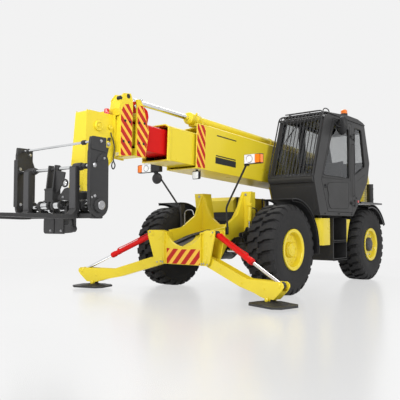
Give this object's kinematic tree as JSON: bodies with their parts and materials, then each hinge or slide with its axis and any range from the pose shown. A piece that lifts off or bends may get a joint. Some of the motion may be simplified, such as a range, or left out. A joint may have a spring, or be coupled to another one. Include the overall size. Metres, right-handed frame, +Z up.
{
  "type": "telehandler",
  "caption": "Telescopic handler: side cab, nested lifting boom with tilting fork carriage, four steered wheels and swing-down front stabilisers.",
  "frame": {"origin": "on the ground, in the middle of the length and width of the machine as stored", "axes": "+X ahead to the fork tips, +Y to the left where the cab is, +Z up"},
  "size_m": [8, 3.7656, 2.98],
  "materials": {
    "yellow_paint": "gloss yellow paint",
    "red_paint": "gloss red paint",
    "dark_paint": "satin near-black paint",
    "grey_paint": "satin dark grey paint",
    "cast": "rough dark casting",
    "chrome_rod": "polished rod",
    "tyre_rubber": "matt black tyre rubber",
    "clear_glass": "slightly grey window glass",
    "seat_cloth": "dark grey cloth",
    "amber_lens": "amber lens",
    "black_plastic": "matt black plastic"
  },
  "bodies": {
    "base": {"access_steps": "dark_paint", "beacon": "amber_lens", "cab_frame": "dark_paint", "cab_glass": "clear_glass", "cab_guard": "dark_paint", "cab_roof": "dark_paint", "chassis_rails": "dark_paint", "cross_members": "dark_paint", "driveline": "cast", "engine_block": "cast", "engine_housing": "dark_paint", "exhaust": "dark_paint", "front_axle": "dark_paint", "front_frame": "yellow_paint", "fuel_tank": "yellow_paint", "lamp_stalks": "black_plastic", "operator_seat": "seat_cloth", "rear_axle": "dark_paint", "rear_body": "yellow_paint", "rear_frame": "dark_paint", "steering_console": "black_plastic"},
    "front_left_steer": {"front_left_knuckle": "grey_paint"},
    "front_left_wheel": {"front_left_tyre": "tyre_rubber", "front_left_rim": "yellow_paint"},
    "front_right_steer": {"front_right_knuckle": "grey_paint"},
    "front_right_wheel": {"front_right_tyre": "tyre_rubber", "front_right_rim": "yellow_paint"},
    "rear_left_steer": {"rear_left_knuckle": "grey_paint"},
    "rear_left_wheel": {"rear_left_tyre": "tyre_rubber", "rear_left_rim": "yellow_paint"},
    "rear_right_steer": {"rear_right_knuckle": "grey_paint"},
    "rear_right_wheel": {"rear_right_tyre": "tyre_rubber", "rear_right_rim": "yellow_paint"},
    "cab_door": {"cab_door": "dark_paint", "door_glass": "clear_glass"},
    "engine_cover": {"engine_cover": "yellow_paint"},
    "boom": {"boom_outer": "yellow_paint", "extension_barrel": "yellow_paint", "work_light": "black_plastic"},
    "boom_second": {"boom_second": "yellow_paint"},
    "boom_third": {"boom_third": "red_paint", "third_collar": "yellow_paint", "extension_rod": "chrome_rod"},
    "boom_head": {"boom_head": "yellow_paint", "head_collar": "yellow_paint"},
    "carriage": {"carriage": "dark_paint"},
    "fork_left": {"fork_left": "dark_paint"},
    "fork_right": {"fork_right": "dark_paint"},
    "lift_barrel": {"lift_barrel": "dark_paint"},
    "lift_rod": {"lift_rod": "chrome_rod"},
    "tilt_barrel": {"tilt_barrel": "dark_paint"},
    "tilt_rod": {"tilt_rod": "chrome_rod"},
    "outrigger_arm_left": {"outrigger_arm_left": "yellow_paint"},
    "outrigger_barrel_left": {"outrigger_barrel_left": "red_paint"},
    "outrigger_rod_left": {"outrigger_rod_left": "chrome_rod"},
    "outrigger_pad_left": {"outrigger_pad_left": "dark_paint"},
    "outrigger_arm_right": {"outrigger_arm_right": "yellow_paint"},
    "outrigger_barrel_right": {"outrigger_barrel_right": "red_paint"},
    "outrigger_rod_right": {"outrigger_rod_right": "chrome_rod"},
    "outrigger_pad_right": {"outrigger_pad_right": "dark_paint"}
  },
  "joints": [
    {"name": "front_left_steering", "type": "hinge", "parent": "base", "child": "front_left_steer", "pos_m": [-0.24, 0.7, 0.625], "axis": [0, 0, 1], "range_deg": [-25, 25]},
    {"name": "front_left_roll", "type": "hinge", "parent": "front_left_steer", "child": "front_left_wheel", "pos_m": [-0.24, 1.02, 0.625], "axis": [0, 1, 0], "continuous": true},
    {"name": "front_right_steering", "type": "hinge", "parent": "base", "child": "front_right_steer", "pos_m": [-0.24, -0.7, 0.625], "axis": [0, 0, 1], "range_deg": [-25, 25]},
    {"name": "front_right_roll", "type": "hinge", "parent": "front_right_steer", "child": "front_right_wheel", "pos_m": [-0.24, -1.02, 0.625], "axis": [0, 1, 0], "continuous": true},
    {"name": "rear_left_steering", "type": "hinge", "parent": "base", "child": "rear_left_steer", "pos_m": [-2.995, 0.7, 0.625], "axis": [0, 0, 1], "range_deg": [-25, 25]},
    {"name": "rear_left_roll", "type": "hinge", "parent": "rear_left_steer", "child": "rear_left_wheel", "pos_m": [-2.995, 1.02, 0.625], "axis": [0, 1, 0], "continuous": true},
    {"name": "rear_right_steering", "type": "hinge", "parent": "base", "child": "rear_right_steer", "pos_m": [-2.995, -0.7, 0.625], "axis": [0, 0, 1], "range_deg": [-25, 25]},
    {"name": "rear_right_roll", "type": "hinge", "parent": "rear_right_steer", "child": "rear_right_wheel", "pos_m": [-2.995, -1.02, 0.625], "axis": [0, 1, 0], "continuous": true},
    {"name": "cab_door_hinge", "type": "hinge", "parent": "base", "child": "cab_door", "pos_m": [-2.417, 1.184, 1.9], "axis": [0, 0, 1], "range_deg": [0, 100]},
    {"name": "engine_cover_hinge", "type": "hinge", "parent": "base", "child": "engine_cover", "pos_m": [-1.675, -0.414, 1.432], "axis": [-1, 0, 0], "range_deg": [0, 60]},
    {"name": "boom_lift", "type": "hinge", "parent": "base", "child": "boom", "pos_m": [-3.54, 0, 1.82], "axis": [0, -1, 0], "range_deg": [-5, 60]},
    {"name": "boom_extend", "type": "slide", "parent": "boom", "child": "boom_second", "axis": [0.999, 0, 0.0454], "range_m": [-0.07, 1.6]},
    {"name": "third_extend", "type": "slide", "parent": "boom_second", "child": "boom_third", "axis": [0.999, 0, 0.0454], "range_m": [-0.07, 1.6]},
    {"name": "head_extend", "type": "slide", "parent": "boom_third", "child": "boom_head", "axis": [0.999, 0, 0.0454], "range_m": [-0.07, 1.6]},
    {"name": "carriage_tilt", "type": "hinge", "parent": "boom_head", "child": "carriage", "pos_m": [2.73, 0, 1.158], "axis": [0, -1, 0], "range_deg": [-60, 15]},
    {"name": "fork_left_swing", "type": "hinge", "parent": "carriage", "child": "fork_left", "pos_m": [2.79, 0.41, 1.559], "axis": [0, -1, 0], "range_deg": [0, 30]},
    {"name": "fork_right_swing", "type": "hinge", "parent": "carriage", "child": "fork_right", "pos_m": [2.79, -0.41, 1.559], "axis": [0, -1, 0], "range_deg": [0, 30]},
    {"name": "lift_barrel_swing", "type": "hinge", "parent": "base", "child": "lift_barrel", "pos_m": [-3.44, 0, 0.85], "axis": [0, -1, 0], "range_deg": [-6, 48]},
    {"name": "lift_rod_slide", "type": "slide", "parent": "lift_barrel", "child": "lift_rod", "axis": [0.9207, 0, 0.3904], "range_m": [-0.09, 0.84]},
    {"name": "tilt_barrel_swing", "type": "hinge", "parent": "boom_head", "child": "tilt_barrel", "pos_m": [2.16, 0, 1.89], "axis": [0, -1, 0], "range_deg": [-5, 3]},
    {"name": "tilt_rod_slide", "type": "slide", "parent": "tilt_barrel", "child": "tilt_rod", "axis": [0.4268, 0, -0.9044], "range_m": [-0.24, 0.07]},
    {"name": "outrigger_left_swing", "type": "hinge", "parent": "base", "child": "outrigger_arm_left", "pos_m": [0.6, 0.42, 0.48], "axis": [0.9636, -0.2672, 0], "range_deg": [0, 70]},
    {"name": "outrigger_left_barrel_swing", "type": "hinge", "parent": "base", "child": "outrigger_barrel_left", "pos_m": [0.63741, 0.55491, 0.842], "axis": [0.9636, -0.2672, 0], "range_deg": [-2, 84]},
    {"name": "outrigger_left_rod_slide", "type": "slide", "parent": "outrigger_barrel_left", "child": "outrigger_rod_left", "axis": [0.2429, 0.8759, -0.417], "range_m": [-0.4, 0.01]},
    {"name": "outrigger_left_pad_tilt", "type": "hinge", "parent": "outrigger_arm_left", "child": "outrigger_pad_left", "pos_m": [0.91454, 1.55419, 0.102], "axis": [0.9636, -0.2672, 0], "range_deg": [-20, 20]},
    {"name": "outrigger_right_swing", "type": "hinge", "parent": "base", "child": "outrigger_arm_right", "pos_m": [0.6, -0.42, 0.48], "axis": [-0.9636, -0.2672, 0], "range_deg": [0, 70]},
    {"name": "outrigger_right_barrel_swing", "type": "hinge", "parent": "base", "child": "outrigger_barrel_right", "pos_m": [0.63741, -0.55491, 0.842], "axis": [-0.9636, -0.2672, 0], "range_deg": [-2, 84]},
    {"name": "outrigger_right_rod_slide", "type": "slide", "parent": "outrigger_barrel_right", "child": "outrigger_rod_right", "axis": [0.2429, -0.8759, -0.417], "range_m": [-0.4, 0.01]},
    {"name": "outrigger_right_pad_tilt", "type": "hinge", "parent": "outrigger_arm_right", "child": "outrigger_pad_right", "pos_m": [0.91454, -1.55419, 0.102], "axis": [-0.9636, -0.2672, 0], "range_deg": [-20, 20]}
  ],
  "couplings": [
    {"joint": "front_right_steering", "follows": "front_left_steering", "ratio": 1},
    {"joint": "rear_right_steering", "follows": "rear_left_steering", "ratio": 1},
    {"joint": "third_extend", "follows": "boom_extend", "ratio": 1},
    {"joint": "head_extend", "follows": "boom_extend", "ratio": 1},
    {"joint": "lift_barrel_swing", "follows": "boom_lift", "ratio": 0.7255},
    {"joint": "lift_rod_slide", "follows": "boom_lift", "m_per_rad": 0.7768},
    {"joint": "tilt_barrel_swing", "follows": "carriage_tilt", "ratio": -0.0054},
    {"joint": "tilt_rod_slide", "follows": "carriage_tilt", "m_per_rad": 0.2031},
    {"joint": "outrigger_left_barrel_swing", "follows": "outrigger_left_swing", "ratio": 1.1492},
    {"joint": "outrigger_left_rod_slide", "follows": "outrigger_left_swing", "m_per_rad": -0.3119},
    {"joint": "outrigger_right_barrel_swing", "follows": "outrigger_right_swing", "ratio": 1.1492},
    {"joint": "outrigger_right_rod_slide", "follows": "outrigger_right_swing", "m_per_rad": -0.3119}
  ]
}
